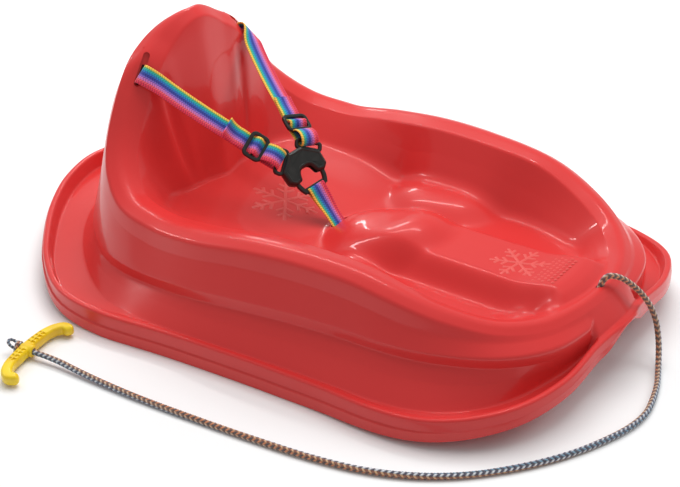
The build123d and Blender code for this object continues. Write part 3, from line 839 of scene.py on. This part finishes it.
# %% Snowflakes and grip beads
def flake_lines(cx, cy, reach, first=0.0):
    """Ends of every branch: for arm angle a, branches leave it at a + 53 and a - 53."""
    arms = first + np.arange(6) * math.pi / 3
    lines = []
    for a in arms:
        tip = np.array([math.cos(a), math.sin(a)])
        lines.append((tip * 0.0, tip * reach))
        for where, length in ((0.40, 0.30), (0.68, 0.24)):
            for turn in (math.pi / 3.4, -math.pi / 3.4):
                way = np.array([math.cos(a + turn), math.sin(a + turn)])
                lines.append((tip * reach * where, tip * reach * where + way * reach * length))
    return np.array(lines) + (cx, cy)


def ridges(lines, wide, high):
    """Each ridge: height = high * (1 - |v|^4)(1 - |u|^12) over the floor, else below it."""
    u = np.linspace(-1, 1, 15)[:, None]
    v = np.linspace(-1, 1, 7)[None, :]
    grids = []
    for start, end in lines:
        way = unit(end - start)
        square = np.array([-way[1], way[0]])
        flat = ((start + end) / 2 + u[..., None] * (end - start) / 2 * (1 + wide / 80)
                + v[..., None] * square * wide / 2)
        z = floor_height(flat[..., 0], flat[..., 1])
        top = high * (1 - np.abs(v) ** 4) * (1 - np.abs(u) ** 12) - 0.25
        grids.append(np.stack([flat[..., 0], flat[..., 1], z + top], -1))
    return grids


def beads(places, radius, high):
    """A dome of height high * (1 - r^2) at every place."""
    r = np.array([1.0, 0.8, 0.5, 0.15])[:, None]
    t = turns_of(10)[None, :]
    return [np.stack([x + radius * r * np.cos(t), y + radius * r * np.sin(t),
                      floor_height(x + radius * r * np.cos(t), y + radius * r * np.sin(t))
                      + high * (1 - r**2) - 0.2], -1) for x, y in places]


frosted = Finish("frosted_red_plastic", srgb(218, 84, 79), 0.42).material
flakes = ridges(flake_lines(-68, 0, 46, 0.1), 5.6, 1.1) + ridges(
    flake_lines(263, 0, 34, 0.35), 4.2, 0.9)
spots = [(x, y + 3.5 * (k % 2)) for k, x in enumerate(np.arange(296, 326, 6))
         for y in np.arange(-31, 32, 7)]
piece(mesh_of("floor_ornament", flakes + beads(spots, 1.9, 0.9),
              [open_sheet] * len(flakes) + [closed_tube] * len(spots), False),
      frosted, "sled", crease=60)
print("ridges", len(flakes), "beads", len(spots))

# %% [markdown]
# ## Webbing
#
# Belt webbing is woven flat with coloured warp yarns, so the stripes run along it and
# the weft shows as fine ribs across it.  Each strap is a flat ring of points carried
# along a smooth line; the ring's own coordinates go into a UV map in millimetres, and
# the stripes, the ribs and the fuzz are all drawn from that map.  The stripes are painted
# darker where the weave sinks between ribs and yarns, as painted shade.

# %% Striped webbing finish
WEB, WEB_T = 25.0, 1.6
WARP, WEFT, SWAY = 1.05, 3.0, 2.5   # spacing of warp yarns, of weft ribs and of their sway
STRIPES = [(0.0, srgb(226, 56, 84)), (0.16, srgb(240, 92, 110)), (0.26, srgb(206, 120, 190)),
           (0.38, srgb(134, 104, 196)), (0.48, srgb(56, 70, 160)), (0.62, srgb(44, 122, 196)),
           (0.73, srgb(40, 176, 172)), (0.83, srgb(110, 190, 110)), (0.89, srgb(255, 204, 84))]


def webbing_finish():
    """Stripe colour from v; ribs |sin| of v and of u, where u sways to and fro with v; the
    stripe colour is darkened by painted shade where the ribs sink.
    """
    finish = Finish("striped_webbing", srgb(90, 110, 170), 0.7, Sheen_Weight=0.3,
                    Sheen_Roughness=0.4)
    uv = finish.node("ShaderNodeUVMap", {"uv_map": "weave"}).outputs[0]
    u, v, _ = finish.axes(uv)
    frayed = v + (finish.noise(0.9, 2.0, 0.5, uv) - 0.5) * 0.018
    ramp = finish.node("ShaderNodeValToRGB", {}, {0: frayed / WEB + 0.5})
    elements = ramp.color_ramp.elements
    while len(elements) < len(STRIPES):
        elements.new(0.5)
    for element, (where, color) in zip(elements, STRIPES):
        element.position, element.color = where, (*color, 1.0)
    ramp.color_ramp.interpolation = "CONSTANT"
    warp = (v * (math.pi / WARP)).sin().abs()
    weft = ((u + (v * (math.pi / SWAY)).sin() * 0.7) * (math.pi / WEFT)).sin().abs()
    fuzz = finish.noise(1800.0, 2.0, 0.6)
    height = warp * 0.25 + weft * 0.6 + fuzz * 0.25
    # painted shade: the stripe colour is darkened where the weave sinks, between ribs and yarns
    shade = finish.blend(height.between(0.1, 0.8), srgb(40, 34, 60), (1.0, 1.0, 1.0))
    mixed = finish.node("ShaderNodeMix", {"data_type": "RGBA", "blend_type": "MULTIPLY"},
                        {0: 0.75, 6: ramp.outputs[0], 7: shade}).outputs[2]
    finish.set(Base_Color=mixed, Roughness=0.62 + fuzz * 0.2)
    finish.bump(height, 0.00035, 0.9)
    return finish.material


webbing = webbing_finish()

# %% Straps
BUCKLE = np.array([-41.0, 0.0, 126.0])
BUCKLE_X = unit(CROTCH - BUCKLE)
ROLL = math.radians(18.0)   # the buckle hangs with its right side a little lower
BUCKLE_Y = np.array([0.0, math.cos(ROLL), 0.0]) + math.sin(ROLL) * np.cross(
    BUCKLE_X, (0.0, 1.0, 0.0))
BUCKLE_AXES = np.stack([BUCKLE_X, BUCKLE_Y, np.cross(BUCKLE_X, BUCKLE_Y)])
BAR_TURN, BAR_BACK, BAR_SIDE = math.radians(39.0), 17.9, 23.7
GLIDE_AT = 0.83


def from_buckle(points):
    """Points given along, beside and over the buckle, in the sled's frame."""
    return BUCKLE + np.asarray(points, float) @ BUCKLE_AXES


def through(points, step=1.0):
    """A smooth line through points: Hermite on each coordinate over chord length."""
    points = np.array(points, float)
    knots = distances(points)
    t = np.linspace(0, knots[-1], max(8, int(knots[-1] / step)))
    return np.stack([hermite(knots, points[:, k], t, False) for k in range(points.shape[1])], -1)


def strap_ring(wide, thick):
    """Flat ring (w, h): the two faces and a rounded edge at each side."""
    w = np.linspace(-1, 1, 14) * (wide - thick) / 2
    bend = np.linspace(-math.pi / 2, math.pi / 2, 5)[1:-1]
    edge = np.stack([np.cos(bend), np.sin(bend)], -1) * thick / 2
    right = edge + ((wide - thick) / 2, 0)
    left = -edge - ((wide - thick) / 2, 0)
    bottom, top = np.stack([w, w * 0 - thick / 2], -1), np.stack([w[::-1], w * 0 + thick / 2], -1)
    return np.concatenate([bottom, right, top, left])


def strap(name, lines, body, node):
    """Webbing along lines of (point, across) arrays; the UV map holds millimetres."""
    ring, grids, coords = strap_ring(WEB, WEB_T), [], []
    for path, across in lines:
        tangent = unit(np.gradient(path, axis=0))
        across = unit(across - tangent * (across * tangent).sum(-1, keepdims=True))
        normal = np.cross(tangent, across)
        grids.append(spun(path, across, normal, ring[None, :, 0], ring[None, :, 1]))
        u = distances(path)
        coords.append(np.stack(np.broadcast_arrays(u[:, None], ring[None, :, 0]), -1))
    mesh = mesh_of(name, grids)
    print(name, "is webbing of", [round(float(c[-1, 0, 0])) for c in coords], "mm")
    corner = np.empty(len(mesh.loops), np.int32)
    mesh.loops.foreach_get("vertex_index", corner)
    layer = mesh.uv_layers.new(name="weave")
    layer.data.foreach_set("uv", np.concatenate([c.reshape(-1, 2) for c in coords])[corner]
                           .astype(np.float32).ravel())
    obj = piece(mesh, webbing, body, crease=50)
    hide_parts(node)


def belt_frame(side):
    """Slot middle, run to the strap bar, and the directions along the belt, away from the
    seat and across the webbing."""
    middle, axes = slot_frame(side)
    bar = from_buckle((-BAR_BACK, side * BAR_SIDE, 0))
    run = np.linalg.norm(bar - middle)
    along = (bar - middle) / run
    across = unit(axes[0] - along * (axes[0] @ along))
    away = np.cross(across, along)
    if away @ axes[2] < 0:
        away = -away
    return middle, run, along, away, across


def width_at(side, u):
    """Direction across the webbing: from the slot's own, it turns to the strap bar's."""
    _, run, along, _, across = belt_frame(side)
    bar = -from_buckle((math.sin(BAR_TURN), side * math.cos(BAR_TURN), 0)) + BUCKLE
    turn = ease((u - 3) / 32)[:, None]
    mixed = across * (1 - turn) + unit(bar - along * (bar @ along)) * turn
    return unit(mixed)


for side, name in ((1, "left"), (-1, "right")):
    middle, run, along, away, across = belt_frame(side)
    out = slot_frame(side)[1][2]
    g = GLIDE_AT * run
    dive = [(-d * (out @ along), -d * (out @ away)) for d in (9.7, 5, 0)]
    main = through(dive + [(4, 4.0), (11, 5.0), (20, 4), (45, 0), (g - 55, -4.2), (g - 30, -3.8),
                           (g - 13, -4.6), (g - 7, -3.2), (g - 3, 2.6), (g, 4.2), (g + 3, 2.6),
                           (g + 6.5, -1.6), (g + 10.5, -1.2), (g + 14, 4.0), (run - 9, 9.5),
                           (run - 1.5, 7.6), (run + 2.6, 2.0), (run + 1.6, -2.2), (run - 4, -3.8),
                           (run - 14, -4.6), (g + 10, -5.6), (g + 1, -6.2)])
    lift = 9.0 if side < 0 else 1.5
    flap = through([(g - 6, -1.4), (g - 12, -2.8), (g - 20, -1.9), (g - 30, -1.9),
                    (g - 38, -1.7 + 0.4 * lift), (g - 43, -1.7 + lift)])
    lines = []
    for p in (main, flap):
        wide = width_at(side, p[:, 0])
        height = np.cross(wide, along)
        height *= np.sign(height @ away)[:, None]
        lines.append((middle + p[:, :1] * along + p[:, 1:] * height, wide))
    strap(f"shoulder_strap_{name}", lines, "sled", f"shoulder_belt_{name}")

reach = np.linalg.norm(CROTCH - BUCKLE)
crotch_line = through([(60, -0.9), (46, -1.5), (38, -2.6), (33, -3.1), (29.6, -0.6), (30.6, 2.4),
                       (35, 2.8), (42, 1.9), (56, 0.8), (72, 0), (reach + 1.5, 0)])
crotch_path = from_buckle(np.stack([crotch_line[:, 0], 0 * crotch_line[:, 0],
                                    crotch_line[:, 1]], -1))
settle = ease((crotch_line[:, :1] - 40) / 34)      # from the plug's bar to the slot's width
crotch_wide = -BUCKLE_Y * (1 - settle) - np.array([0.0, 1.0, 0.0]) * settle
strap("crotch_strap", [(crotch_path, unit(crotch_wide))], "plug", "crotch_belt")

# %% [markdown]
# ## Black buckle parts
#
# The buckle is a flat body with a deep notch, a strap bar along each rear side, and a
# plug with two bowed arms.  The body is an outline carried through a few levels: each
# level has its own height and its own inset, which rounds the edge and sinks or raises
# the top.  Frames and arms are a rounded bar carried along a line, closed or open.

# %% Outlines, plates and bars
def outline(corners, radius, steps=7, flats=2):
    """A closed outline through corners (x, y), each rounded by its radius."""
    points = np.array(corners, float)
    wrap = np.concatenate([points[-1:], points, points[:1]])[None]
    radii = np.broadcast_to(np.asarray(radius, float), (len(points),))
    line_in = rounded(wrap, radii, steps, (0,) + (flats,) * (len(points) - 1) + (flats,))[0]
    return line_in[1:-1]


def plate(edge, levels):
    """The outline at each level (inset, height): points moved in along its normal."""
    way = np.roll(edge, -1, 0) - np.roll(edge, 1, 0)
    normal = unit(np.stack([-way[:, 1], way[:, 0]], -1))
    area = (edge[:, 0] * np.roll(edge[:, 1], -1) - np.roll(edge[:, 0], -1) * edge[:, 1]).sum()
    normal = normal * np.sign(area)
    return np.array([np.c_[edge + normal * inset, np.full(len(edge), height)]
                     for inset, height in levels])


def bar_ring(wide, thick, radius, steps=4):
    """Rounded rectangle (across, rise)."""
    w, t = wide / 2, thick / 2
    return outline([(-w, -t), (w, -t), (w, t), (-w, t)], radius, steps, 1)


def carried(path, ring, first_side, closed=False):
    """path + across * side + rise * upright, for every point of the ring."""
    _, side, upright = square_frames(path, first_side, closed)
    if closed:                  # the side returns to where it began
        side[:] = np.array(first_side, float)
        tangent = unit(np.roll(path, -1, 0) - np.roll(path, 1, 0))
        upright = np.cross(tangent, side)
    return spun(path, side, upright, ring[None, :, 0], ring[None, :, 1])


def frame_ring(long, wide, corner, thick, bar):
    """A rectangular frame: a bar of that width and thickness carried round an outline."""
    path = outline([(-long / 2, -wide / 2), (long / 2, -wide / 2), (long / 2, wide / 2),
                    (-long / 2, wide / 2)], corner, 7, 3)
    path = np.c_[path, np.zeros(len(path))]
    return carried(path, bar_ring(thick, bar, min(thick, bar) * 0.32), (0, 0, 1), True)


def black_plastic():
    """Nearly black; fine spark-eroded grain, and patches rubbed a little brighter."""
    finish = Finish("black_plastic", srgb(34, 36, 34), 0.42)
    grain = finish.noise(1500.0, 3.0, 0.6)
    worn = finish.noise(90.0, 3.0, 0.6)
    finish.set(Base_Color=finish.blend(worn.between(0.4, 0.75) * 0.4, srgb(31, 33, 31),
                                       srgb(52, 54, 51)),
               Roughness=0.26 + grain * 0.1 + worn.between(0.45, 0.7) * 0.08)
    finish.bump(grain, 0.00012, 0.5)
    return finish.material


black = black_plastic()

# %% Buckle body
BODY = [(-20, -10), (-4, -30), (14, -29.5), (19.5, -22), (17.5, -12), (5, -8), (5, 8),
        (17.5, 12), (19.5, 22), (14, 29.5), (-4, 30), (-20, 10)]
BODY_R = [4, 5, 5, 3, 4, 7, 7, 4, 3, 5, 5, 4]
body_edge = outline(BODY, BODY_R)
shell = plate(body_edge, [(1.6, -6), (0.6, -5.6), (0, -4.6), (0, 2.6), (0.5, 4.0), (2.2, 5.4),
                          (3.0, 6.0), (4.2, 6.1), (4.7, 5.6), (5.6, 5.5)])
mouth = np.array([[(-6, y, z) for y, z in bar_ring(34, 5.8, 1.0)],
                  [(24, y, z) for y, z in bar_ring(34, 5.8, 1.0)]])
socket_mesh = bored("buckle_body", mesh_of("buckle_block", [shell]),
                    mesh_of("buckle_mouth", [mouth]))

bars = []
for side in (1, -1):
    c, s = math.cos(-side * BAR_TURN), math.sin(-side * BAR_TURN)
    turn = np.array([(c, s, 0), (-s, c, 0), (0, 0, 1)])
    ring = frame_ring(9.5, WEB + 6.0, 3.0, 5.2, 4.4) + (2.6, 0, 0)
    bars.append(ring @ turn + (-BAR_BACK, side * BAR_SIDE, 0))
bars_mesh = mesh_of("buckle_bars", bars, closed_ring)


def placed(mesh, axes, middle):
    """The mesh's points, given in a piece's own axes, moved to the sled's frame."""
    points = np.empty(len(mesh.vertices) * 3)
    mesh.vertices.foreach_get("co", points)
    points = points.reshape(-1, 3) @ axes + np.array(middle) * MM
    mesh.vertices.foreach_set("co", points.ravel())
    mesh.update()
    return mesh


buckle_body = piece(placed(socket_mesh, BUCKLE_AXES, BUCKLE), black, "sled",
                    32)
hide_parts("buckle_socket")
piece(placed(bars_mesh, BUCKLE_AXES, BUCKLE), black, "sled", 40)

# %% Plug with two bowed arms
arms = []
for side in (1, -1):
    path = through([(33, side * 14.4, 0), (28.5, side * 17.0, 0.2), (22, side * 19.2, 0.3),
                    (15, side * 19.6, 0.2), (6, side * 16.5, 0), (-1, side * 12, 0)], 1.2)
    taper = np.linspace(1.0, 0.8, len(path))[:, None, None]
    grid = carried(path, bar_ring(5.6, 5.4, 1.2), (0, 1, 0))
    arms.append(path[:, None] + (grid - path[:, None]) * taper)
cross = frame_ring(5.6, 28.5, 2.4, 4.4, 2.6) + (31.4, 0, 0)
plug_mesh = mesh_of("buckle_plug", arms + [cross], [closed_tube, closed_tube, closed_ring])
plug = piece(placed(plug_mesh, BUCKLE_AXES, BUCKLE), black, "plug", 40)
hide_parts("buckle_prongs")

# %% Adjusters
for side, name in ((1, "left"), (-1, "right")):
    middle, run, along, away, _ = belt_frame(side)
    g = GLIDE_AT * run
    across = width_at(side, np.array([g]))[0]
    axes = np.stack([along, across, np.cross(along, across)])
    if axes[2] @ away < 0:
        axes[2] *= -1
    ring = frame_ring(21.5, 31.0, 5.0, 4.2, 5.0)
    rod = through([(0, -15, 0), (0, 0, 0), (0, 15, 0)], 2.0)
    middle_bar = carried(rod, bar_ring(3.0, 2.4, 0.9), (1, 0, 0))
    mesh = mesh_of(f"adjuster_{name}_frame", [ring, middle_bar], [closed_ring, closed_tube])
    slide = piece(placed(mesh, axes, middle + along * g), black, "sled", 40)
    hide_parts(f"adjuster_{name}")

# %% [markdown]
# ## Yellow pull handle
#
# The grip is a moulded bar with both ends hooked back, a small boss where the rope goes
# through, and two rows of shallow pockets on top so that a gloved hand does not slip.
# Its radius is a function of the way along and the angle round, and the rope's bore is
# cut with a Boolean.

# %% Handle
GRIP, GRIP_TURN = np.array([-150.0, -362.0, 8.5]), math.radians(11.5)
c, s = math.cos(GRIP_TURN), math.sin(GRIP_TURN)
GRIP_AXES = np.array([(c, s, 0), (-s, c, 0), (0, 0, 1)])
GRIP_R, SQUARE = 6.3, 3.4               # radius, and the power that squares its section
POCKETS, PITCH, FIRST, DEEP = 4, 6.6, 5.5, 1.8


def handle_grid():
    """Radius 6.3 of a rounded square, |cos|^3.4 + |sin|^3.4, less 1.8 in each pocket;
    the ends close as half balls."""
    path = through([(17, -49, 0), (12.5, -52.8, 0), (7, -54, 0), (0.5, -49, 0), (-5, -38, 0),
                    (-7.4, -20, 0), (-8, 0, 0), (-7.4, 20, 0), (-5, 38, 0), (0.5, 49, 0),
                    (7, 54, 0), (12.5, 52.8, 0), (17, 49, 0)], 0.55)
    _, side, upright = square_frames(path, (-1, 0, 0))
    u = distances(path)
    u = (u - u[-1] / 2)[:, None]
    end = u.max() - np.abs(u)
    angle = turns_of(56)[None, :]
    top = (np.degrees(angle) - 270 + 180) % 360 - 180
    row = ease((np.abs(np.abs(top) - 27) - 17) / -3)
    pocket = ease((np.abs((np.abs(u) - FIRST) / PITCH % 1 - 0.5) - 0.34) / -0.05)
    depth = DEEP * row * pocket * ((np.abs(u) > FIRST) & (np.abs(u) < FIRST + PITCH * POCKETS))
    spread = 1 + 0.10 * np.exp(-((u / 26) ** 4))
    cap = np.sqrt(np.clip(1 - (1 - end / 6.0) ** 2, 0.0025, 1)) * (end < 6) + (end >= 6)
    square = (np.abs(np.cos(angle)) ** SQUARE + np.abs(np.sin(angle)) ** SQUARE) ** (-1 / SQUARE)
    radius = (GRIP_R * cap * square - depth) * (1 + (spread - 1) * np.abs(np.cos(angle)))
    return spun(path, side, upright, radius * np.cos(angle), radius * np.sin(angle))


def boss_grid():
    """A short cone round the rope's way through, its lip rounded."""
    x = np.array([-14.6, -14.4, -13.6, -12, -5, 0, 1.2, 1.9, 2.0])[:, None]
    r = np.array([5.2, 6.0, 6.7, 7.1, 7.2, 7.0, 6.6, 5.8, 5.2])[:, None]
    t = turns_of(32)[None, :]
    return np.stack(np.broadcast_arrays(x, r * np.cos(t), r * np.sin(t) * 0.98), -1)


bore = np.array([[(x, (ROPE_D / 2 + 0.5) * math.cos(t), (ROPE_D / 2 + 0.5) * math.sin(t))
                  for t in turns_of(24)] for x in (-30, 30)])
grip_mesh = bored("pull_grip", mesh_of("grip_solid", [handle_grid(), boss_grid()]),
                  mesh_of("grip_bore", [bore]), True)


def yellow_plastic():
    """Bright yellow with a slightly deeper drift and a fine moulded grain."""
    finish = Finish("yellow_plastic", srgb(240, 205, 30), 0.35, Coat_Weight=0.15)
    drift = finish.noise(60.0, 3.0)
    grain = finish.noise(1100.0, 2.0)
    finish.set(Base_Color=finish.blend(drift.between(0.3, 0.75), srgb(243, 211, 32),
                                       srgb(232, 192, 22)),
               Roughness=0.3 + grain * 0.1 + drift * 0.06)
    finish.bump(grain * 0.4 + drift, 0.0003, 0.5)
    return finish.material


yellow = yellow_plastic()
grip = piece(placed(grip_mesh, GRIP_AXES, GRIP), yellow, "sled", 40)
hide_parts("pull_handle")

# %% Knot and loop behind the grip
loop_t = np.linspace(-0.5, 2 * math.pi - 0.6, 90)
loop = np.stack([-8.5 * (1 - np.cos(loop_t)) * 0.62 - 1.5, 4.8 * np.sin(loop_t),
                 4.5 * (1 - np.cos(loop_t)) * 0.75 - 0.5], -1)
tail = np.array(GRIP_KNOT) + loop @ GRIP_AXES
grip_knot = piece(cord_mesh("knot_behind_grip", [
    knitted(trefoil(GRIP_KNOT, GRIP_HEADING, *KNOT), 4.4, 1, (0, 0, 1)),
    knitted(tail, 3.6, 0.5, (0, 0, 1))]), cord_finish.material, "sled", crease=180)
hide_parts("rope_knot_handle")

# %% [markdown]
# ## Behind the slots
#
# The CAD part's own rods hold the belts' ends.  They are seen only through the slots or
# from below, so they get the black plastic and no new shape.  Small red walls close each
# shoulder slot but for the belt's way through, as the moulding's own depth does.

# %% Rods behind the slots
for name in ("shoulder_rod_left", "shoulder_rod_right", "crotch_rod"):
    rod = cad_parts[name]
    rod.data.materials.clear()
    rod.data.materials.append(black)
print("rods finished")

# %% Walls behind the slots
BACKS = (((-21, -13), -7, 7), ((13, 33), -7, 7),             # beyond the belt's edges
         ((-13, 13), -7, -1.5), ((-13, 13), 1.5, 7))         # on its two faces
for side, name in ((1, "left"), (-1, "right")):
    middle, axes = slot_frame(side)
    backs = [np.array([[(a, b, c) for b, c in ((lo, -9), (hi, -9), (hi, -8), (lo, -8))]
                       for a in span]) for span, lo, hi in BACKS]
    piece(placed(mesh_of(f"slot_back_{name}", backs), axes, middle), red, "sled", 40)
print("walls behind the slots finished")
